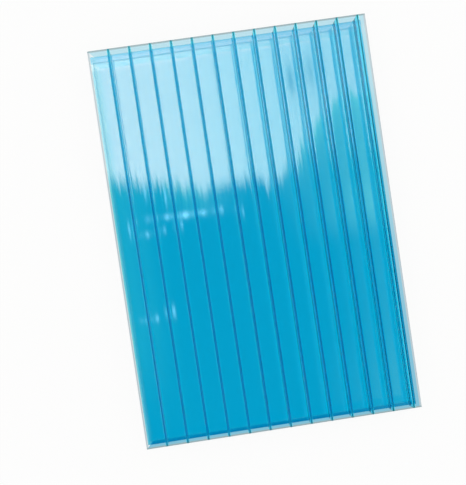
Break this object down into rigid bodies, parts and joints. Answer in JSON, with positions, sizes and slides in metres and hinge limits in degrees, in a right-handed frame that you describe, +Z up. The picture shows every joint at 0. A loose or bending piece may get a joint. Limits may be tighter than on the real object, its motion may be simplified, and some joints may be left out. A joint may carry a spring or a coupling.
{
  "type": "multiwall polycarbonate sheet",
  "caption": "Clear aqua twin-wall polycarbonate sheet, cut as a hand sample: thin walls on upright ribs, flutes open at both ends, open-sided slots along both sawn edges.",
  "frame": {"origin": "centre of the lower face, on the surface that the sheet lies on", "axes": "+Y along the flutes, towards the end that is up in the picture; +X across the flutes, towards the narrow flange; +Z up, out of the face that the picture shows"},
  "size_m": [0.14, 0.2, 0.01],
  "materials": {
    "aqua_polycarbonate": "gloss"
  },
  "bodies": {
    "root": {"multiwall_sheet": "aqua_polycarbonate"}
  },
  "joints": []
}
